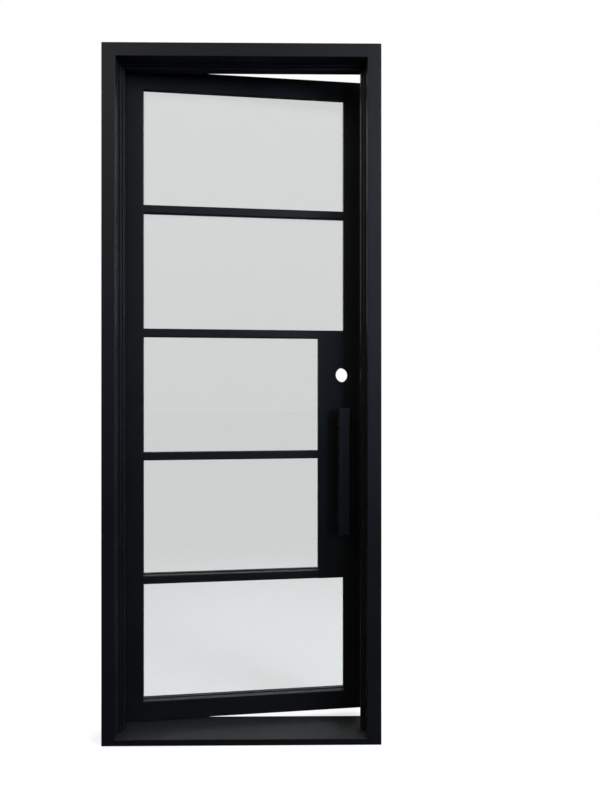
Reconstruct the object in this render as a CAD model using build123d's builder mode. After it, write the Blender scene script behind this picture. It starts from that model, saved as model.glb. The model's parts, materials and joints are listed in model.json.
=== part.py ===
from build123d import *
import os
from math import cos, radians, sin

# Frame: folded steel jambs and head with a two-step stop, and a boxed threshold
frame_w = 972
frame_h = 2438
frame_d = 140
frame_face = 48.5
frame_back = 31.5
frame_wall = 2.5
frame_edge_r = 2.5
stop_depth = 35.5
stop_step = 8
stop_tread = 8
threshold_h = 21.5
threshold_wall = 3
threshold_edge_r = 2
threshold_fit = 0.3

# Holes for the wall anchors, through the outer walls of the jambs
anchor_r = 5
anchor_outer_span = 2000
anchor_inner_span = 700

# Rubber seals on the back of the stops, in the space before the shut leaf
seal_space = 10
seal_w = 10
seal_inset = 3
seal_edge_r = 4
seal_gap = 0.3

# Leaf: stiles, rails and bars of hollow steel with a glazing rebate
ajar_deg = 5.6
leaf_t = 50
leaf_wall = 2
leaf_edge_r = 1
hinge_gap = 4
lock_gap = 5
head_gap = 10.5
sill_gap = 9.5
stile_w = 80
rail_w = 68.5
bar_w = 30
bar_edge_r = 3
bar_web = 5
lite_count = 5
foot_lite_extra = 6
lip_d = 18
rebate = 24
foot_rebate = 14

# Lock box: the wide part of the lock side, from the second bar to the fourth
lock_zone_w = 177
lock_wall = 3
lock_backset = 83
lock_bore_r = 27
lock_bore_drop = 167
latch_bore_r = 12.7

# Glazing: three insulated units between gaskets, on setting blocks, held by beads
gasket_t = 1.5
gasket_inset = 1
pane_t = 5
pane_gap = 2.5
spacer_t = 12
spacer_w = 7
spacer_inset = 2
bead_w = 10
bar_bead_w = 7
bead_joint = 0.2
block_l = 60
block_h = 6
block_place_share = 0.25

# Barrel hinges on the inside
hinge_count = 4
hinge_end = 230
knuckle_r = 11
knuckle_h = 55
knuckle_cap = 6
knuckle_lift = 0.5
flap_w = 26
flap_t = 4
pin_r = 6
pin_fit = 0.05
pin_top_gap = 0.5
bearing_h = 3
bearing_gap = 0.2

# Pulls: a square bar on two posts, outside and inside, bolted through the lock box
pull_w = 38
pull_d = 38
pull_l = 460
pull_edge_r = 2.5
pull_inset = 93
pull_drop = 123
post_w = 34
post_h = 50
post_l = 47
post_end = 20
bolt_r = 5
bolt_fit = 0.2
bolt_reach = 30

# Places worked out from the sizes above
front_y = -frame_d / 2
back_y = frame_d / 2
stop_h = 2 * stop_step
stop_back = frame_d - leaf_t - seal_space
stop_front = stop_back - stop_depth
hinge_x = -frame_w / 2 + frame_back + hinge_gap / 2
hinge_y = back_y + knuckle_lift + knuckle_r
leaf_front_t = -knuckle_r - knuckle_lift - leaf_t
leaf_w = frame_w - 2 * frame_back - hinge_gap - lock_gap
hinge_edge_u = hinge_gap / 2
lock_edge_u = hinge_edge_u + leaf_w
lock_zone_u = lock_edge_u - lock_zone_w
leaf_z0 = threshold_h + sill_gap
leaf_z1 = frame_h - frame_back - head_gap
leaf_h = leaf_z1 - leaf_z0
stile_back_w = stile_w - rebate
bar_rebate = (bar_w - bar_web) / 2
unit_t = 2 * pane_t + spacer_t
bead_t = leaf_t - lip_d - 2 * gasket_t - unit_t
lite_h = (leaf_h - 2 * rail_w - (lite_count - 1) * bar_w - foot_lite_extra) / lite_count
bar_tops = [leaf_z1 - rail_w - n * lite_h - (n - 1) * bar_w for n in range(1, lite_count)]
lock_z1 = bar_tops[1]
lock_z0 = bar_tops[3] - bar_w
lock_bore_z = lock_z1 - lock_bore_drop
pull_u = lock_edge_u - pull_inset
pull_mid_z = lock_bore_z - pull_drop - pull_l / 2
post_pitch = pull_l - 2 * post_end - post_h

leaf_x = Vector(cos(radians(ajar_deg)), sin(radians(ajar_deg)), 0)
leaf_y = Vector(-sin(radians(ajar_deg)), cos(radians(ajar_deg)), 0)
up = Vector(0, 0, 1)

os.makedirs("parts", exist_ok=True)


def save(piece, name):
    piece.part.label = name
    export_step(piece.part, f"parts/{name}.step")


def leaf_point(u, d, z):
    # u runs from the hinge axis across the leaf, d from its outer face inwards
    return Vector(hinge_x, hinge_y, 0) + leaf_x * u + leaf_y * (leaf_front_t + d) + up * z


def outer_face(u, d, z):
    return Plane(origin=leaf_point(u, d, z), x_dir=leaf_x, z_dir=-leaf_y)


def inner_face(u, d, z):
    return Plane(origin=leaf_point(u, d, z), x_dir=-leaf_x, z_dir=leaf_y)


def outer_corners(section, outline):
    # The corners that point outwards, on an outline drawn anticlockwise
    corners = []
    for before, here, after in zip(outline[-1:] + outline[:-1], outline, outline[1:] + outline[:1]):
        turn = (Vector(*here) - Vector(*before)).cross(Vector(*after) - Vector(*here))
        if turn.Z > 0:
            corners.append(section.vertices().sort_by_distance(here)[0])
    return corners


# Frame members

def frame_outline(inset):
    # Section of a jamb: across from the wall side, and back from the front face
    reveal = frame_face - inset
    back = frame_back - inset
    middle = reveal + stop_step
    stop = middle + stop_step
    second = stop_front + stop_tread
    return [
        (inset, inset),
        (reveal, inset),
        (reveal, stop_front + inset),
        (middle, stop_front + inset),
        (middle, second + inset),
        (stop, second + inset),
        (stop, stop_back - inset),
        (back, stop_back - inset),
        (back, frame_d - inset),
        (inset, frame_d - inset),
    ]


def hinge_side(z):
    return Plane(origin=(-frame_w / 2, front_y, z), x_dir=(1, 0, 0), z_dir=(0, 0, 1))


def strike_side(z):
    return Plane(origin=(frame_w / 2, front_y, z), x_dir=(-1, 0, 0), z_dir=(0, 0, -1))


head_side = Plane(origin=(-frame_w / 2, front_y, frame_h), x_dir=(0, 0, -1), z_dir=(1, 0, 0))
hinge_mitre = Plane(origin=(-frame_w / 2, 0, frame_h), z_dir=(1, 0, 1))
strike_mitre = Plane(origin=(frame_w / 2, 0, frame_h), z_dir=(-1, 0, 1))


def frame_member(plane, length, mitres, keep):
    outline = frame_outline(0)
    with BuildPart() as member:
        with BuildSketch(plane) as section:
            with BuildLine():
                Polyline(*outline, close=True)
            make_face()
            fillet(outer_corners(section, outline), radius=frame_edge_r)
        extrude(amount=length)
        with BuildSketch(plane):
            with BuildLine():
                Polyline(*frame_outline(frame_wall), close=True)
            make_face()
        extrude(amount=length, mode=Mode.SUBTRACT)
        for mitre in mitres:
            split(bisect_by=mitre, keep=keep)
    return member


def jamb(name, plane, mitre, side):
    body = frame_member(plane, frame_h, [mitre], Keep.BOTTOM)
    wall = Plane(origin=(side * frame_w / 2, 0, frame_h / 2), x_dir=(0, side, 0), z_dir=(side, 0, 0))
    with BuildPart() as drilled:
        add(body.part)
        with BuildSketch(wall):
            for span in (anchor_outer_span, anchor_inner_span):
                with GridLocations(0, span, 1, 2):
                    Circle(anchor_r)
        extrude(amount=-2 * frame_wall, mode=Mode.SUBTRACT)
    save(drilled, name)


jamb("hinge_jamb", hinge_side(0), hinge_mitre, -1)
jamb("strike_jamb", strike_side(frame_h), strike_mitre, 1)
save(frame_member(head_side, frame_w, [hinge_mitre, strike_mitre], Keep.TOP), "head_jamb")

with BuildPart() as threshold:
    with BuildSketch(Plane(origin=(-frame_w / 2, 0, threshold_h / 2), x_dir=(0, 1, 0), z_dir=(1, 0, 0))) as section:
        Rectangle(frame_d, threshold_h)
        fillet(section.vertices().group_by(Axis.Y)[-1], radius=threshold_edge_r)
        Rectangle(frame_d - 2 * threshold_wall, threshold_h - 2 * threshold_wall, mode=Mode.SUBTRACT)
    extrude(amount=frame_w)
    for plane in (hinge_side(0), strike_side(threshold_h)):
        with BuildSketch(plane):
            with BuildLine():
                Polyline(*frame_outline(-threshold_fit), close=True)
            make_face()
        extrude(amount=threshold_h, mode=Mode.SUBTRACT)
save(threshold, "threshold")

# Seals: solid strips, rounded on the leaf's side

seal_t = seal_space - seal_gap
seal_mid_y = front_y + stop_back + seal_t / 2
seal_in_x = frame_w / 2 - frame_face - stop_h + seal_inset
seal_top_z = frame_h - frame_face - stop_h + seal_inset


def seal(name, plane, length):
    with BuildPart() as strip:
        with BuildSketch(plane) as section:
            Rectangle(seal_w, seal_t)
            fillet(section.vertices().group_by(Axis.Y)[-1], radius=seal_edge_r)
        extrude(amount=length)
    save(strip, name)


upright_l = seal_top_z - threshold_h
for name, side in (("hinge_side_seal", -1), ("strike_side_seal", 1)):
    foot = (side * (seal_in_x + seal_w / 2), seal_mid_y, threshold_h)
    seal(name, Plane(origin=foot, x_dir=(1, 0, 0), z_dir=(0, 0, 1)), upright_l)
head_seal_l = 2 * (seal_in_x + seal_w)
head_seal_start = (-head_seal_l / 2, seal_mid_y, seal_top_z + seal_w / 2)
seal("head_seal", Plane(origin=head_seal_start, x_dir=(0, 0, -1), z_dir=(1, 0, 0)), head_seal_l)

# Leaf stiles and rails


def leaf_outline(width, overhang, inset):
    # Section of a stile or rail: across from the leaf's edge, and back from its outer face
    return [
        (inset, inset),
        (width - inset, inset),
        (width - inset, lip_d - inset),
        (width - overhang - inset, lip_d - inset),
        (width - overhang - inset, leaf_t - inset),
        (inset, leaf_t - inset),
    ]


def leaf_member(name, plane, length, width, overhang, mitres, keep):
    outline = leaf_outline(width, overhang, 0)
    with BuildPart() as member:
        with BuildSketch(plane) as section:
            with BuildLine():
                Polyline(*outline, close=True)
            make_face()
            fillet(outer_corners(section, outline), radius=leaf_edge_r)
        extrude(amount=length)
        with BuildSketch(plane):
            with BuildLine():
                Polyline(*leaf_outline(width, overhang, leaf_wall), close=True)
            make_face()
        extrude(amount=length, mode=Mode.SUBTRACT)
        for mitre in mitres:
            split(bisect_by=mitre, keep=keep)
    save(member, name)


def leaf_mitre(u, z, side, rise):
    # Runs from the leaf's corner to the corner of the opening
    return Plane(origin=leaf_point(u, 0, z), z_dir=leaf_x * side * rail_w + up * rise * stile_w)


hinge_top = leaf_mitre(hinge_edge_u, leaf_z1, 1, 1)
hinge_foot = leaf_mitre(hinge_edge_u, leaf_z0, 1, -1)
lock_top = leaf_mitre(lock_edge_u, leaf_z1, -1, 1)
lock_foot = leaf_mitre(lock_edge_u, leaf_z0, -1, -1)

hinge_edge = Plane(origin=leaf_point(hinge_edge_u, 0, leaf_z0), x_dir=leaf_x, z_dir=up)
top_edge = Plane(origin=leaf_point(hinge_edge_u, 0, leaf_z1), x_dir=-up, z_dir=leaf_x)
bottom_edge = Plane(origin=leaf_point(lock_edge_u, 0, leaf_z0), x_dir=up, z_dir=-leaf_x)


def lock_edge(z):
    return Plane(origin=leaf_point(lock_edge_u, 0, z), x_dir=-leaf_x, z_dir=-up)


leaf_member("hinge_stile", hinge_edge, leaf_h, stile_w, rebate, [hinge_top, hinge_foot], Keep.BOTTOM)
leaf_member("upper_lock_stile", lock_edge(leaf_z1), leaf_z1 - lock_z1, stile_w, rebate, [lock_top], Keep.BOTTOM)
leaf_member("lower_lock_stile", lock_edge(lock_z0), lock_z0 - leaf_z0, stile_w, rebate, [lock_foot], Keep.BOTTOM)
leaf_member("top_rail", top_edge, leaf_w, rail_w, rebate, [hinge_top, lock_top], Keep.TOP)
leaf_member("bottom_rail", bottom_edge, leaf_w, rail_w, foot_rebate, [hinge_foot, lock_foot], Keep.TOP)

# Lock box: a plate box as thick as the leaf, with rebates for the lites beside it

lock_zone_h = lock_z1 - lock_z0
cavity_w = lock_zone_w - rebate - 2 * lock_wall
cavity_h = lock_zone_h - 2 * bar_rebate - 2 * lock_wall
at_corner = (Align.MIN, Align.MIN)

with BuildPart() as lock_box:
    with BuildSketch(outer_face(lock_zone_u, 0, lock_z0)):
        Rectangle(lock_zone_w, lock_zone_h, align=at_corner)
    extrude(amount=-lip_d)
    with BuildSketch(outer_face(lock_zone_u, lip_d, lock_z0)):
        with Locations((rebate, bar_rebate)):
            Rectangle(lock_zone_w - rebate, lock_zone_h - 2 * bar_rebate, align=at_corner)
        with Locations((lock_zone_w - stile_back_w, 0)):
            Rectangle(stile_back_w, lock_zone_h, align=at_corner)
    extrude(amount=lip_d - leaf_t)
    with BuildSketch(outer_face(lock_zone_u + rebate + lock_wall, lock_wall, lock_z0 + bar_rebate + lock_wall)):
        Rectangle(cavity_w, cavity_h, align=at_corner)
    extrude(amount=2 * lock_wall - leaf_t, mode=Mode.SUBTRACT)
    with BuildSketch(outer_face(lock_edge_u - lock_backset, 0, lock_bore_z)):
        Circle(lock_bore_r)
    extrude(amount=-leaf_t, mode=Mode.SUBTRACT)
    with BuildSketch(outer_face(pull_u, 0, pull_mid_z)):
        with GridLocations(0, post_pitch, 1, 2):
            Circle(bolt_r + bolt_fit)
    extrude(amount=-leaf_t, mode=Mode.SUBTRACT)
    with BuildSketch(Plane(origin=leaf_point(lock_edge_u, leaf_t / 2, lock_bore_z), z_dir=leaf_x)):
        Circle(latch_bore_r)
    extrude(amount=-2 * lock_wall, mode=Mode.SUBTRACT)
save(lock_box, "lock_box")

# Bars: hollow bars in front of the glass; the two at the lock box's ends part the units with a web

lip_u = hinge_edge_u + stile_w
full_end_u = lock_edge_u - stile_w
bar_ends = [full_end_u, lock_zone_u, lock_zone_u, lock_zone_u]

for number, (top_z, end_u) in enumerate(zip(bar_tops, bar_ends), start=1):
    mid_z = top_z - bar_w / 2
    flange_plane = Plane(origin=leaf_point(lip_u, 0, mid_z), x_dir=-up, z_dir=leaf_x)
    web_plane = Plane(origin=leaf_point(lip_u - rebate, 0, mid_z), x_dir=-up, z_dir=leaf_x)
    with BuildPart() as bar:
        with BuildSketch(flange_plane) as section:
            with Locations((0, lip_d / 2)):
                Rectangle(bar_w, lip_d)
            fillet(section.vertices().group_by(Axis.Y)[0], radius=bar_edge_r)
            with Locations((0, lip_d / 2)):
                Rectangle(bar_w - 2 * leaf_wall, lip_d - 2 * leaf_wall, mode=Mode.SUBTRACT)
        extrude(amount=end_u - lip_u)
        if number % 2 == 0:
            with BuildSketch(web_plane):
                with Locations((0, (lip_d + leaf_t) / 2)):
                    Rectangle(bar_web, leaf_t - lip_d)
            extrude(amount=end_u - lip_u + 2 * rebate)
    save(bar, f"bar_{number}")

# Glass units: foot, top and far side of each clear opening, then rebate and bead below and above

units = [
    (lock_z1, leaf_z1 - rail_w, full_end_u, bar_rebate, rebate, bar_bead_w, bead_w),
    (lock_z0 + bar_w, lock_z1 - bar_w, lock_zone_u, bar_rebate, bar_rebate, bar_bead_w, bar_bead_w),
    (leaf_z0 + rail_w, lock_z0, full_end_u, foot_rebate, bar_rebate, bead_w, bar_bead_w),
]
face_bars = [bar_tops[0], bar_tops[2]]
outer_gasket_d = lip_d
outer_pane_d = outer_gasket_d + gasket_t
spacer_d = outer_pane_d + pane_t
inner_pane_d = spacer_d + spacer_t
inner_gasket_d = inner_pane_d + pane_t
bead_d = inner_gasket_d + gasket_t


def leaf_sheet(depth):
    # Sketches here are drawn in u and z
    return outer_face(0, depth, 0)


def patch(left, right, foot, top, mode=Mode.ADD):
    with Locations((left, foot)):
        Rectangle(right - left, top - foot, align=at_corner, mode=mode)


def pane_edges(unit):
    foot, top, end_u, below, above, foot_bead, top_bead = unit
    return lip_u - rebate + pane_gap, end_u + rebate - pane_gap, foot - below + block_h, top + above - pane_gap


for number, unit in enumerate(units, start=1):
    foot, top, end_u, below, above, foot_bead, top_bead = unit
    for name, depth in ((f"outer_pane_{number}", outer_pane_d), (f"inner_pane_{number}", inner_pane_d)):
        with BuildPart() as glass:
            with BuildSketch(leaf_sheet(depth)):
                patch(*pane_edges(unit))
            extrude(amount=-pane_t)
        save(glass, name)
    left, right, low, high = lip_u - rebate, end_u + rebate, foot - below, top + above
    with BuildPart() as beads:
        with BuildSketch(leaf_sheet(bead_d)):
            patch(left, right, low, low + foot_bead)
            patch(left, right, high - top_bead, high)
            patch(left, left + bead_w, low + foot_bead + bead_joint, high - top_bead - bead_joint)
            patch(right - bead_w, right, low + foot_bead + bead_joint, high - top_bead - bead_joint)
        extrude(amount=-bead_t)
    save(beads, f"glazing_beads_{number}")

with BuildPart() as outer_gaskets:
    for unit in units:
        foot, top, end_u, below, above, foot_bead, top_bead = unit
        left, right = lip_u - gasket_inset, end_u + gasket_inset
        with BuildSketch(leaf_sheet(outer_gasket_d)):
            patch(*pane_edges(unit))
            patch(left, right, foot - gasket_inset, top + gasket_inset, Mode.SUBTRACT)
            for bar_top in face_bars:
                if foot < bar_top < top:
                    patch(left, right, bar_top - bar_w + gasket_inset, bar_top - gasket_inset)
        extrude(amount=-gasket_t)
save(outer_gaskets, "outer_gaskets")

with BuildPart() as inner_gaskets:
    for unit in units:
        foot, top, end_u, below, above, foot_bead, top_bead = unit
        side = rebate - bead_w + gasket_inset
        with BuildSketch(leaf_sheet(inner_gasket_d)):
            patch(*pane_edges(unit))
            patch(lip_u - side, end_u + side, foot - below + foot_bead - gasket_inset, top + above - top_bead + gasket_inset, Mode.SUBTRACT)
        extrude(amount=-gasket_t)
save(inner_gaskets, "inner_gaskets")

with BuildPart() as pane_spacers:
    for unit in units:
        left, right, low, high = pane_edges(unit)
        outside, inside = spacer_inset, spacer_inset + spacer_w
        with BuildSketch(leaf_sheet(spacer_d)):
            patch(left + outside, right - outside, low + outside, high - outside)
            patch(left + inside, right - inside, low + inside, high - inside, Mode.SUBTRACT)
        extrude(amount=-spacer_t)
save(pane_spacers, "pane_spacers")

with BuildPart() as setting_blocks:
    for foot, top, end_u, below, above, foot_bead, top_bead in units:
        for share in (block_place_share, 1 - block_place_share):
            mid_u = lip_u + share * (end_u - lip_u)
            with BuildSketch(leaf_sheet(outer_pane_d)):
                patch(mid_u - block_l / 2, mid_u + block_l / 2, foot - below, foot - below + block_h)
            extrude(amount=-unit_t)
save(setting_blocks, "setting_blocks")

# Hinges: the jamb's knuckle below, the bearing ring, then the leaf's knuckle


def knuckle(name, plane):
    flap_y = -knuckle_r - knuckle_lift
    with BuildPart() as half:
        with BuildSketch(plane):
            Circle(knuckle_r)
            with Locations((0, flap_y)):
                Rectangle(flap_w, flap_t, align=at_corner)
        extrude(amount=knuckle_h)
        with BuildSketch(plane):
            Circle(pin_r + pin_fit)
        extrude(amount=knuckle_h - knuckle_cap, mode=Mode.SUBTRACT)
    save(half, name)


hinge_pitch = (leaf_h - 2 * hinge_end) / (hinge_count - 1)
pin_depth = knuckle_h - knuckle_cap
pin_l = 2 * pin_depth + bearing_h + bearing_gap - pin_top_gap

for number in range(1, hinge_count + 1):
    seat_z = leaf_z1 - hinge_end - (number - 1) * hinge_pitch
    leaf_seat = (hinge_x, hinge_y, seat_z + bearing_h + bearing_gap)
    knuckle(f"jamb_knuckle_{number}", Plane(origin=(hinge_x, hinge_y, seat_z), x_dir=(-1, 0, 0), z_dir=(0, 0, -1)))
    knuckle(f"leaf_knuckle_{number}", Plane(origin=leaf_seat, x_dir=leaf_x, z_dir=up))
    with BuildPart() as pin:
        with BuildSketch(Plane(origin=(hinge_x, hinge_y, seat_z - pin_depth))):
            Circle(pin_r)
        extrude(amount=pin_l)
    save(pin, f"hinge_pin_{number}")
    with BuildPart() as bearing:
        with BuildSketch(Plane(origin=(hinge_x, hinge_y, seat_z))):
            Circle(knuckle_r)
            Circle(pin_r + pin_fit, mode=Mode.SUBTRACT)
        extrude(amount=bearing_h)
    save(bearing, f"hinge_bearing_{number}")

# Pulls


def pull(side, base):
    with BuildPart() as posts:
        with BuildSketch(base):
            with GridLocations(0, post_pitch, 1, 2):
                Rectangle(post_w, post_h)
        extrude(amount=post_l)
        with BuildSketch(base):
            with GridLocations(0, post_pitch, 1, 2):
                Circle(bolt_r + bolt_fit)
        extrude(amount=bolt_reach, mode=Mode.SUBTRACT)
    save(posts, f"{side}_pull_posts")
    with BuildPart() as grip:
        with BuildSketch(base.offset(post_l)):
            Rectangle(pull_w, pull_l)
        extrude(amount=pull_d)
        fillet(grip.edges(), radius=pull_edge_r)
    save(grip, f"{side}_pull_bar")


pull("outside", outer_face(pull_u, 0, pull_mid_z))
pull("inside", inner_face(pull_u, leaf_t, pull_mid_z))

with BuildPart() as pull_bolts:
    with BuildSketch(outer_face(pull_u, -bolt_reach, pull_mid_z)):
        with GridLocations(0, post_pitch, 1, 2):
            Circle(bolt_r)
    extrude(amount=-leaf_t - 2 * bolt_reach)
save(pull_bolts, "pull_bolts")
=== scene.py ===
import bpy
import bmesh
import json
from math import cos, pi, radians, sin
from mathutils import Matrix, Vector


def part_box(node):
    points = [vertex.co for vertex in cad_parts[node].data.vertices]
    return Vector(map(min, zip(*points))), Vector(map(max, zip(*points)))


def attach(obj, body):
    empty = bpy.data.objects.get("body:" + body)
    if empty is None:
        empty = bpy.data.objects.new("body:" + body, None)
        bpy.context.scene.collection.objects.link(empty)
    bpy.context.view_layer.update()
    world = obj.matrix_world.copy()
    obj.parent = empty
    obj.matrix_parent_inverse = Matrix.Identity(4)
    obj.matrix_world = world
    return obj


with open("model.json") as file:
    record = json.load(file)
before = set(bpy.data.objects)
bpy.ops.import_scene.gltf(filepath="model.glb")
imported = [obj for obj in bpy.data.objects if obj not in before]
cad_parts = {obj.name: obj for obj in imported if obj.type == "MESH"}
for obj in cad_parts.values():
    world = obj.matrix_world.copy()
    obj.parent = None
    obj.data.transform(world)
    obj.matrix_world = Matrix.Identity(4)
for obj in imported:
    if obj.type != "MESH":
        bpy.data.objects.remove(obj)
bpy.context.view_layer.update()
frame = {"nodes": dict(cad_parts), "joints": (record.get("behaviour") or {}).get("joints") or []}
scene = bpy.context.scene
scene.view_settings.view_transform = "Standard"
print("door loaded:", len(frame["nodes"]), "pieces")


class Wire:
    # one socket, which can be used in sums
    def __init__(self, shop, socket):
        self.shop = shop
        self.socket = socket

    def calc(self, operation, first, second):
        return self.shop.add("ShaderNodeMath", {"operation": operation}, {0: first, 1: second})

    def __add__(self, other):
        return self.calc("ADD", self, other)

    def __radd__(self, other):
        return self.calc("ADD", other, self)

    def __sub__(self, other):
        return self.calc("SUBTRACT", self, other)

    def __rsub__(self, other):
        return self.calc("SUBTRACT", other, self)

    def __mul__(self, other):
        return self.calc("MULTIPLY", self, other)

    def __rmul__(self, other):
        return self.calc("MULTIPLY", other, self)

    def larger(self, other):
        return self.calc("MAXIMUM", self, other)

    def between(self, start, end):
        # 0 at start, 1 at end, and smooth in between
        return self.shop.add("ShaderNodeMapRange", {"interpolation_type": "SMOOTHSTEP"},
                             {"Value": self, "From Min": start, "From Max": end})


class Shop:
    # the nodes of one material, or of the world
    def __init__(self, tree):
        self.tree = tree
        tree.nodes.clear()

    def add(self, kind, settings, sockets, output=0):
        node = self.tree.nodes.new(kind)
        for name, value in settings.items():
            setattr(node, name, value)
        for name, value in sockets.items():
            if isinstance(value, Wire):
                self.tree.links.new(value.socket, node.inputs[name])
            else:
                node.inputs[name].default_value = value
        return Wire(self, node.outputs[output]) if node.outputs else node

    def place(self):
        return self.add("ShaderNodeTexCoord", {}, {}, "Object")

    def stretched(self, place, scale):
        return self.add("ShaderNodeMapping", {}, {"Vector": place, "Scale": scale})

    def noise(self, place, scale, detail=2.0, rough=0.5, bend=0.0):
        return self.add("ShaderNodeTexNoise", {}, {"Vector": place, "Scale": scale, "Detail": detail,
                                                   "Roughness": rough, "Distortion": bend})

    def split(self, vector, axis):
        return self.add("ShaderNodeSeparateXYZ", {}, {"Vector": vector}, axis)

    def facing(self, axis):
        return self.split(self.add("ShaderNodeNewGeometry", {}, {}, "Normal"), axis)

    def ray(self, kind):
        return self.add("ShaderNodeLightPath", {}, {}, kind)

    def mixed(self, share, first, second):
        return self.add("ShaderNodeMix", {"data_type": "RGBA"}, {"Factor": share, 6: first, 7: second}, 2)

    def bump(self, height, strength, distance):
        return self.add("ShaderNodeBump", {}, {"Height": height, "Strength": strength, "Distance": distance})


def newFinish(name):
    material = bpy.data.materials.new(name)
    material.use_nodes = True
    return material, Shop(material.node_tree)


# Satin black paint: fine orange peel, a slow drift in the sheen, wipe marks, and dust where it faces up
def satinPaint(name, look):
    material, shop = newFinish(name)
    place = shop.place()
    drift = shop.noise(place, look["driftScale"], 4.0, 0.6)
    wipes = shop.noise(shop.stretched(place, look["wipeStretch"]), look["wipeScale"], 5.0, 0.62, 0.5)
    peel = shop.noise(place, look["peelScale"])
    grit = shop.noise(place, look["peelScale"] * look["gritFiner"], 2.0, 0.6)
    specks = shop.noise(place, look["speckScale"], 2.0, 0.6).between(*look["speckEdge"])
    leastDust, patchyDust = look["ledgePatch"]
    patches = leastDust + patchyDust * shop.noise(place, look["ledgeScale"], 5.0, 0.65)
    ledge = shop.facing("Z").between(*look["ledgeTilt"]) * patches
    dust = specks * look["specks"] + ledge * look["ledgeDust"]
    coat = shop.mixed(drift.between(0.3, 0.7), look["deep"], look["pale"])
    rough = look["rough"] + (drift - 0.5) * look["driftSheen"] + (wipes - 0.5) * look["wipes"]
    height = peel * (1 - look["gritShare"]) + grit * look["gritShare"]
    shader = shop.add("ShaderNodeBsdfPrincipled", {}, {
        "Base Color": shop.mixed(dust, coat, look["dustShade"]),
        "Roughness": rough + dust * look["dustDulls"],
        "Specular IOR Level": look["gloss"],
        "Normal": shop.bump(height, look["peelStrength"], look["peelDepth"])})
    shop.add("ShaderNodeOutputMaterial", {}, {"Surface": shader})
    return material


frameLook = {
    "deep": (0.0062, 0.0070, 0.0094, 1.0), "pale": (0.0088, 0.0097, 0.0124, 1.0),
    "rough": 0.46, "gloss": 0.28, "driftScale": 2.6, "driftSheen": 0.14,
    "wipes": 0.14, "wipeScale": 16.0, "wipeStretch": (1.0, 1.0, 0.22),
    "peelScale": 560.0, "peelStrength": 0.24, "peelDepth": 0.0006, "gritFiner": 5.0, "gritShare": 0.25,
    "dustShade": (0.12, 0.119, 0.117, 1.0), "dustDulls": 0.25,
    "specks": 0.10, "speckScale": 330.0, "speckEdge": (0.70, 0.78),
    "ledgeDust": 0.08, "ledgeScale": 18.0, "ledgeTilt": (0.4, 0.95), "ledgePatch": (0.45, 0.9)}
leafLook = {**frameLook, "rough": 0.48, "driftScale": 3.1, "ledgeDust": 0.10}
beadLook = {**frameLook, "rough": 0.48, "driftScale": 5.0}
pullLook = {**frameLook, "rough": 0.40, "driftScale": 7.0, "wipes": 0.22, "wipeScale": 34.0, "ledgeDust": 0.05}
hingeLook = {**frameLook, "rough": 0.42, "driftScale": 12.0, "peelScale": 700.0}
sillLook = {**frameLook, "deep": (0.0058, 0.0062, 0.0076, 1.0), "pale": (0.0080, 0.0084, 0.0096, 1.0),
            "rough": 0.54, "gloss": 0.20, "wipes": 0.22, "ledgeDust": 0.12}


# Clear float glass, which lets the lamps through
glassLook = {"tint": (0.852, 0.862, 0.862, 1.0), "ior": 1.5,
             "waveScale": 2.2, "waveStrength": 0.05, "waveDepth": 0.004}


def clearGlass(name, look):
    material, shop = newFinish(name)
    wave = shop.noise(shop.place(), look["waveScale"], 1.0)
    body = shop.add("ShaderNodeBsdfPrincipled", {}, {
        "Base Color": look["tint"], "Roughness": 0.0, "IOR": look["ior"], "Transmission Weight": 1.0,
        "Normal": shop.bump(wave, look["waveStrength"], look["waveDepth"])})
    through = shop.add("ShaderNodeBsdfTransparent", {}, {"Color": look["tint"]})
    shader = shop.add("ShaderNodeMixShader", {}, {0: shop.ray("Is Shadow Ray"), 1: body, 2: through})
    shop.add("ShaderNodeOutputMaterial", {}, {"Surface": shader})
    return material


# Black rubber, with a grey bloom and fine lines along its length
def rubber(name, look):
    material, shop = newFinish(name)
    place = shop.place()
    bloom = shop.noise(place, look["bloomScale"], 5.0, 0.65)
    pores = shop.noise(place, look["poreScale"])
    lines = shop.noise(shop.stretched(place, look["lines"]), 1.0)
    height = pores * look["poreShare"] + lines * (1 - look["poreShare"])
    shader = shop.add("ShaderNodeBsdfPrincipled", {}, {
        "Base Color": shop.mixed(bloom.between(0.4, 0.75), look["deep"], look["pale"]),
        "Roughness": look["rough"] + bloom * look["bloomDulls"],
        "Specular IOR Level": look["gloss"],
        "Normal": shop.bump(height, 0.2, look["depth"])})
    shop.add("ShaderNodeOutputMaterial", {}, {"Surface": shader})
    return material


sealLook = {
    "deep": (0.010, 0.010, 0.0105, 1.0), "pale": (0.026, 0.026, 0.026, 1.0), "lines": (900.0, 900.0, 6.0),
    "bloomScale": 30.0, "bloomDulls": 0.2, "poreScale": 1400.0, "poreShare": 0.4,
    "rough": 0.66, "gloss": 0.35, "depth": 0.0004}
gasketLook = {**sealLook, "deep": (0.012, 0.012, 0.012, 1.0), "pale": (0.022, 0.022, 0.022, 1.0),
              "lines": (6.0, 900.0, 6.0)}


# Bare metal: turned steel on the pins, dark anodised aluminium between the panes
def bareMetal(name, look):
    material, shop = newFinish(name)
    place = shop.place()
    turned = shop.noise(shop.stretched(place, look["lines"]), 1.0, 3.0, 0.6)
    haze = shop.noise(place, look["hazeScale"], 4.0, 0.6)
    shader = shop.add("ShaderNodeBsdfPrincipled", {}, {
        "Base Color": shop.mixed(haze.between(0.35, 0.7), look["deep"], look["pale"]),
        "Metallic": 1.0,
        "Roughness": look["rough"] + (turned - 0.5) * look["lineSheen"] + (haze - 0.5) * look["hazeSheen"],
        "Normal": shop.bump(turned, 0.12, look["depth"])})
    shop.add("ShaderNodeOutputMaterial", {}, {"Surface": shader})
    return material


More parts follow.
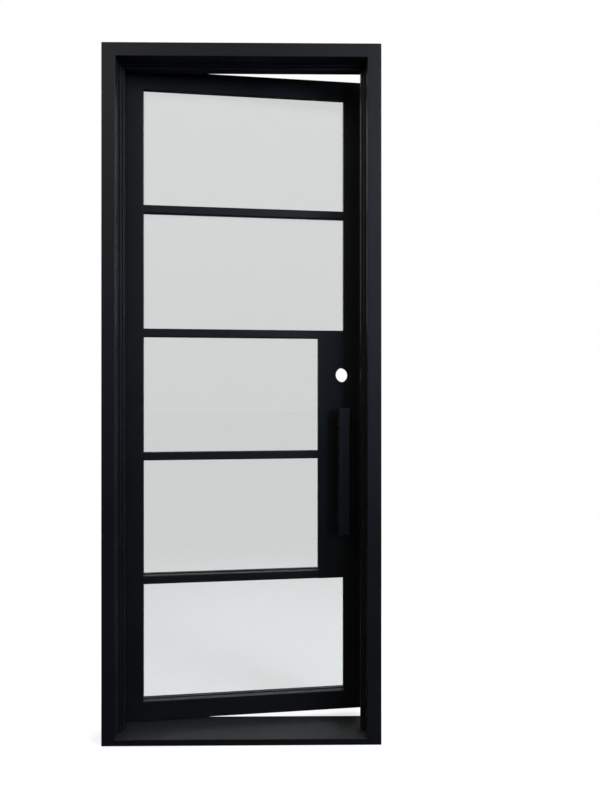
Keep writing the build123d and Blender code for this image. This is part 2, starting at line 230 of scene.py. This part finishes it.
pinLook = {
    "deep": (0.42, 0.41, 0.40, 1.0), "pale": (0.58, 0.575, 0.56, 1.0), "rough": 0.34,
    "lines": (20.0, 20.0, 2600.0), "lineSheen": 0.2, "hazeScale": 60.0, "hazeSheen": 0.1, "depth": 0.0003}
spacerLook = {**pinLook, "deep": (0.035, 0.036, 0.038, 1.0), "pale": (0.055, 0.056, 0.058, 1.0), "rough": 0.45,
              "lines": (300.0, 900.0, 300.0)}

finishes = {
    "frame_paint": satinPaint("framePaint", frameLook),
    "leaf_paint": satinPaint("leafPaint", leafLook),
    "bead_paint": satinPaint("beadPaint", beadLook),
    "pull_paint": satinPaint("pullPaint", pullLook),
    "hinge_paint": satinPaint("hingePaint", hingeLook),
    "threshold_paint": satinPaint("sillPaint", sillLook),
    "clear_glass": clearGlass("clearGlass", glassLook),
    "seal_rubber": rubber("sealRubber", sealLook),
    "gasket_rubber": rubber("gasketRubber", gasketLook),
    "pin_steel": bareMetal("pinSteel", pinLook),
    "spacer_metal": bareMetal("spacerMetal", spacerLook),
}
for node in frame["nodes"].values():
    for place in node.material_slots:
        key = place.material.name.split(".")[0]
        if key not in finishes:
            print("no finish for", node.name, key)
        else:
            place.material = finishes[key]
print("finishes made:", len(finishes))


# Places on the leaf: across from the hinge axis, in from the outer face, and up
leafPlace = {"ajar": 5.6, "front": -0.0615, "back": 0.050}
hingeAxis = Vector(frame["joints"][0]["pos_m"])
leafAcross = Vector((cos(radians(leafPlace["ajar"])), sin(radians(leafPlace["ajar"])), 0.0))
leafIn = Vector((-leafAcross.y, leafAcross.x, 0.0))
hinges = range(1, 5)


def onLeaf(across, depth, height):
    spot = hingeAxis + leafAcross * across + leafIn * (leafPlace["front"] + depth)
    return Vector((spot.x, spot.y, height))


def finishPiece(name, shape, body, slot):
    mesh = bpy.data.meshes.new(name)
    bmesh.ops.recalc_face_normals(shape, faces=shape.faces)
    shape.to_mesh(mesh)
    shape.free()
    mesh.materials.append(finishes[slot])
    mesh.shade_smooth()
    mesh.set_sharp_from_angle(angle=radians(38))
    piece = bpy.data.objects.new(name, mesh)
    scene.collection.objects.link(piece)
    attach(piece, body)


def newVerts(grown):
    return [part for part in grown if isinstance(part, bmesh.types.BMVert)]


def openEdges(shape):
    return [edge for edge in shape.edges if edge.is_boundary]


# Bead screws: low domed heads with a cross recess, all round the inner glazing beads
screwLook = {"radius": 0.0028, "dome": 0.0010, "rim": 0.0006, "skirt": 0.0009, "recess": 0.0011, "taper": 0.8,
             "blade": 0.19, "reach": 0.62, "pitch": 0.22, "corner": 0.055, "turnStep": 0.9}
screwRuns = [
    {"beads": "glazing_beads_1", "left": 0.063, "right": 0.841, "foot": 0.0035, "top": 0.005},
    {"beads": "glazing_beads_2", "left": 0.063, "right": 0.744, "foot": 0.0035, "top": 0.0035},
    {"beads": "glazing_beads_3", "left": 0.063, "right": 0.841, "foot": 0.005, "top": 0.0035},
]


def screwHead(look):
    shape = bmesh.new()
    bmesh.ops.create_grid(shape, x_segments=5, y_segments=5, size=1.0)
    bladeLine, endLine = 0.2, 0.6  # the grid's inner lines
    middles = {face: face.calc_center_median() for face in shape.faces}
    cross = [face for face, middle in middles.items()
             if min(abs(middle.x), abs(middle.y)) < bladeLine / 2 and middle.length < endLine]

    def widened(value):
        if abs(value) > 0.9:
            return value
        if abs(value) > 0.5:
            return value / endLine * look["reach"]
        return value / bladeLine * look["blade"]

    for vert in shape.verts:
        # the lines move to the blade and its ends, then the square becomes a disc
        across, along = (widened(value) for value in vert.co.xy)
        vert.co.x = across * (1 - along * along / 2) ** 0.5
        vert.co.y = along * (1 - across * across / 2) ** 0.5
        vert.co.z = look["dome"] / look["radius"] * (1 - vert.co.xy.length_squared)
    recess = newVerts(bmesh.ops.extrude_face_region(shape, geom=cross)["geom"])
    bmesh.ops.translate(shape, verts=recess, vec=(0.0, 0.0, -look["recess"] / look["radius"]))
    bmesh.ops.scale(shape, verts=recess, vec=(look["taper"], look["taper"], 1.0))
    bmesh.ops.delete(shape, geom=cross, context="FACES")  # the lid that the extrusion leaves
    skirt = newVerts(bmesh.ops.extrude_edge_only(shape, edges=openEdges(shape))["geom"])
    bmesh.ops.translate(shape, verts=skirt, vec=(0.0, 0.0, -look["skirt"] / look["radius"]))
    bmesh.ops.edgeloop_fill(shape, edges=openEdges(shape))
    bmesh.ops.scale(shape, verts=shape.verts, vec=(look["radius"],) * 3)
    bmesh.ops.translate(shape, verts=shape.verts, vec=(0.0, 0.0, look["rim"]))
    mesh = bpy.data.meshes.new("screwHead")
    shape.to_mesh(mesh)
    shape.free()
    return mesh


def spread(start, end, look):
    # even places along one bead, clear of its corners
    first, last = start + look["corner"], end - look["corner"]
    count = max(1, round((last - first) / look["pitch"]))
    return [first + (last - first) * step / count for step in range(count + 1)]


def beadScrews(look, runs):
    head = screwHead(look)
    facing = Matrix((-leafAcross, Vector((0.0, 0.0, 1.0)), leafIn)).transposed().to_4x4()
    shape = bmesh.new()
    turn = 0.0
    for run in runs:
        low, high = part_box(run["beads"])
        spots = [(run["left"], z) for z in spread(low.z, high.z, look)]
        spots += [(run["right"], z) for z in spread(low.z, high.z, look)]
        spots += [(u, low.z + run["foot"]) for u in spread(run["left"], run["right"], look)]
        spots += [(u, high.z - run["top"]) for u in spread(run["left"], run["right"], look)]
        for across, height in spots:
            made = len(shape.verts)
            shape.from_mesh(head)
            shape.verts.ensure_lookup_table()
            turn += look["turnStep"]  # no two recesses end at the same angle
            spot = Matrix.Translation(onLeaf(across, leafPlace["back"], height))
            bmesh.ops.transform(shape, matrix=spot @ facing @ Matrix.Rotation(turn, 4, "Z"), verts=shape.verts[made:])
    bpy.data.meshes.remove(head)
    finishPiece("beadScrews", shape, "leaf", "bead_paint")


beadScrews(screwLook, screwRuns)
print("bead screws set")


# Hinge welds: a rippled bead along the three free edges of each flap
weldLook = {"radius": 0.0023, "sides": 8, "pitch": 0.0022, "swell": 0.075, "wobble": 0.05, "wobbleStep": 1.7,
            "tip": 0.55, "flap": 0.026, "barrel": 0.0125, "end": 0.002}


def weldBead(shape, look, start, end):
    length = (end - start).length
    steps = 2 * max(3, round(length / look["pitch"]))
    made = len(shape.verts)
    bmesh.ops.create_circle(shape, cap_ends=True, radius=look["radius"] * look["tip"], segments=look["sides"])
    shape.verts.ensure_lookup_table()
    ring = list({edge for vert in shape.verts[made:] for edge in vert.link_edges})
    width = look["tip"]
    for step in range(1, steps + 1):
        ripple = look["swell"] if step % 2 else -look["swell"]
        wanted = look["tip"] if step == steps else 1 + ripple + look["wobble"] * sin(step * look["wobbleStep"])
        grown = bmesh.ops.extrude_edge_only(shape, edges=ring)["geom"]
        verts = newVerts(grown)
        ring = [part for part in grown
                if isinstance(part, bmesh.types.BMEdge) and all(vert in verts for vert in part.verts)]
        bmesh.ops.translate(shape, verts=verts, vec=(0.0, 0.0, length / steps))
        bmesh.ops.scale(shape, verts=verts, vec=(wanted / width, wanted / width, 1.0))
        width = wanted
    bmesh.ops.edgeloop_fill(shape, edges=ring)
    shape.verts.ensure_lookup_table()
    turn = (end - start).to_track_quat("Z", "Y").to_matrix().to_4x4()
    bmesh.ops.transform(shape, matrix=Matrix.Translation(start) @ turn, verts=shape.verts[made:])


def flapWelds(shape, look, spot, edge, near, knuckle):
    # one weld up the flap's edge, and one along its foot and its top to the barrel
    low, high = (corner.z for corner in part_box(knuckle))
    inner = edge + look["end"] if near > edge else edge - look["end"]
    weldBead(shape, look, spot(edge, low + look["end"]), spot(edge, high - look["end"]))
    weldBead(shape, look, spot(inner, low), spot(near, low))
    weldBead(shape, look, spot(inner, high), spot(near, high))


def hingeWelds(look):
    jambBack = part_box("hinge_jamb")[1].y
    jambEdge, jambNear = hingeAxis.x - look["flap"], hingeAxis.x - look["barrel"]
    onJamb, onStile = bmesh.new(), bmesh.new()
    for number in hinges:
        flapWelds(onJamb, look, lambda x, z: Vector((x, jambBack, z)), jambEdge, jambNear, "jamb_knuckle_%d" % number)
        flapWelds(onStile, look, lambda u, z: onLeaf(u, leafPlace["back"], z), look["flap"], look["barrel"],
                  "leaf_knuckle_%d" % number)
    finishPiece("jambHingeWelds", onJamb, "frame", "hinge_paint")
    finishPiece("leafHingeWelds", onStile, "leaf", "hinge_paint")


hingeWelds(weldLook)
print("hinge welds laid")


# Hinge caps: low domes that close the ends of the barrels
capLook = {"radius": 0.0106, "rise": 0.0030, "lip": 0.0009, "steps": 32,
           "dome": [(0.93, 0.55), (0.66, 0.87), (0.33, 0.97), (0.0, 1.0)]}  # shares of the radius and the rise


def barrelCap(look):
    radius, rise, lip = look["radius"], look["rise"], look["lip"]
    outline = [(0.0, -lip), (radius, -lip), (radius, lip)]
    outline += [(radius * reach, rise * lift) for reach, lift in look["dome"]]
    shape = bmesh.new()
    verts = [shape.verts.new((reach, 0.0, lift)) for reach, lift in outline]
    edges = [shape.edges.new(pair) for pair in zip(verts[:-1], verts[1:])]
    bmesh.ops.spin(shape, geom=verts + edges, cent=(0.0, 0.0, 0.0), axis=(0.0, 0.0, 1.0), dvec=(0.0, 0.0, 0.0),
                   angle=2 * pi, steps=look["steps"], use_merge=True, use_duplicate=False)
    bmesh.ops.remove_doubles(shape, verts=shape.verts, dist=0.00001)
    mesh = bpy.data.meshes.new("barrelCap")
    shape.to_mesh(mesh)
    shape.free()
    return mesh


def hingeCaps(look):
    cap = barrelCap(look)
    for name, body, knuckle, end, side in (("jambHingeCaps", "frame", "jamb_knuckle_%d", 0, -1.0),
                                           ("leafHingeCaps", "leaf", "leaf_knuckle_%d", 1, 1.0)):
        shape = bmesh.new()
        for number in hinges:
            made = len(shape.verts)
            shape.from_mesh(cap)
            shape.verts.ensure_lookup_table()
            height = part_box(knuckle % number)[end].z
            spot = Matrix.Translation((hingeAxis.x, hingeAxis.y, height))
            bmesh.ops.transform(shape, matrix=spot @ Matrix.Diagonal((1.0, 1.0, side, 1.0)), verts=shape.verts[made:])
        finishPiece(name, shape, body, "hinge_paint")
    bpy.data.meshes.remove(cap)


hingeCaps(capLook)
print("hinge caps fitted")


# The studio: a pale floor that fades to white, and soft lamps in front, at the right and behind
white = (1.0, 1.0, 1.0, 1.0)
black = (0.0, 0.0, 0.0, 1.0)
floorLook = {"size": 60.0, "shade": (0.50, 0.50, 0.50, 1.0), "bounce": (0.05, 0.05, 0.05, 1.0),
             "rough": 0.9, "glow": 0.72, "fade": (0.7, 2.6)}


def seenRay(shop):
    # 1 where the camera sees a place itself or through glass, and 0 in bounced light
    bounced = (shop.ray("Diffuse Depth") + shop.ray("Glossy Depth")).between(0.0, 1.0)
    return shop.ray("Is Camera Ray").larger(shop.ray("Is Transmission Ray") * (1 - bounced))


def studioFloor(look):
    mesh = bpy.data.meshes.new("studioFloor")
    shape = bmesh.new()
    bmesh.ops.create_grid(shape, x_segments=1, y_segments=1, size=look["size"] / 2)
    shape.to_mesh(mesh)
    shape.free()
    floor = bpy.data.objects.new("studioFloor", mesh)
    scene.collection.objects.link(floor)
    material, shop = newFinish("studioFloor")
    reach = shop.add("ShaderNodeVectorMath", {"operation": "LENGTH"}, {0: shop.place()}, "Value")
    seen = seenRay(shop)
    near = shop.add("ShaderNodeBsdfPrincipled", {}, {
        "Base Color": shop.mixed(seen, look["bounce"], look["shade"]),
        "Roughness": look["rough"],
        "Specular IOR Level": 0.0,
        "Emission Color": shop.mixed(seen, black, white),
        "Emission Strength": look["glow"]})
    far = shop.add("ShaderNodeEmission", {}, {"Color": white})
    shader = shop.add("ShaderNodeMixShader", {}, {0: reach.between(*look["fade"]) * seen, 1: near, 2: far})
    shop.add("ShaderNodeOutputMaterial", {}, {"Surface": shader})
    mesh.materials.append(material)


worldLook = {"low": 0.012, "high": 0.26, "rise": (-0.1, 0.9), "gloss": 0.34, "glossRise": (-0.4, 0.6),
             "sides": 0.45, "sideReach": (0.2, 0.9), "back": 0.25, "backReach": (0.3, 0.9)}


def studioWorld(look):
    world = bpy.data.worlds.new("studio")
    scene.world = world
    world.use_nodes = True
    shop = Shop(world.node_tree)
    way = shop.add("ShaderNodeTexCoord", {}, {}, "Generated")
    across, back, rise = (shop.split(way, axis) for axis in "XYZ")
    seen = seenRay(shop)
    # what paint mirrors: a share of the white, more from the sides and from behind
    sheen = rise.between(*look["glossRise"]) * look["gloss"]
    sheen = sheen + (across * across).between(*look["sideReach"]) * look["sides"]
    sheen = sheen + back.between(*look["backReach"]) * look["back"]
    soft = look["low"] + rise.between(*look["rise"]) * (look["high"] - look["low"])
    soft = soft + shop.ray("Is Glossy Ray") * sheen
    glow = shop.add("ShaderNodeBackground", {}, {"Color": white, "Strength": seen + (1 - seen) * soft})
    shop.add("ShaderNodeOutputWorld", {}, {"Surface": glow})


lampLooks = {
    "keyLamp": {"size": (1.8, 1.4), "power": 38.0, "tone": (1.0, 0.94, 0.86),
                "at": (2.7, -2.5, 4.3), "aim": (0.0, 0.0, 1.4)},
    "fillLamp": {"size": (1.8, 1.4), "power": 25.0, "tone": (1.0, 0.95, 0.88),
                 "at": (-2.6, -2.6, 4.2), "aim": (0.0, 0.0, 1.4)},
    "sideLamp": {"size": (1.2, 1.6), "power": 85.0, "tone": (0.71, 0.855, 1.0),
                 "at": (3.0, -2.15, 2.75), "aim": (0.0, 0.0, 1.3)},
    "frontLamp": {"size": (0.6, 1.2), "power": 12.0, "tone": (0.44, 0.69, 1.0),
                  "at": (1.85, -3.2, 1.9), "aim": (0.3, 0.0, 1.2)},  # far enough right not to show in the glass
    "backLamp": {"size": (2.2, 1.5), "power": 95.0, "tone": (1.0, 0.96, 0.90),
                 "at": (1.8, 3.1, 3.8), "aim": (0.2, 0.0, 0.9)},
    "backFill": {"size": (1.6, 1.6), "power": 60.0, "tone": (0.90, 0.95, 1.0),
                 "at": (-2.8, 2.6, 3.6), "aim": (0.0, 0.0, 1.2)},
}


def softLamp(name, look):
    lamp = bpy.data.lights.new(name, "AREA")
    lamp.shape = "RECTANGLE"
    lamp.size, lamp.size_y = look["size"]
    lamp.energy = look["power"]
    lamp.color = look["tone"]
    holder = bpy.data.objects.new(name, lamp)
    scene.collection.objects.link(holder)
    holder.location = look["at"]
    holder.rotation_euler = (Vector(look["aim"]) - Vector(look["at"])).to_track_quat("-Z", "Y").to_euler()
    holder.visible_camera = False
    holder.visible_transmission = False


studioFloor(floorLook)
studioWorld(worldLook)
for lampName, lampLook in lampLooks.items():
    softLamp(lampName, lampLook)
print("studio ready")

cameraLook = {"at": (0.1511, -2.0327, 1.2298), "turn": -0.534, "lens": 25.455, "shift": (0.0119, -0.0114)}
camera = bpy.data.cameras.new("photoCamera")
camera.lens = cameraLook["lens"]
camera.shift_x, camera.shift_y = cameraLook["shift"]
cameraHolder = bpy.data.objects.new("photoCamera", camera)
scene.collection.objects.link(cameraHolder)
cameraHolder.location = cameraLook["at"]
cameraHolder.rotation_euler = (pi / 2, 0.0, radians(cameraLook["turn"]))
scene.camera = cameraHolder
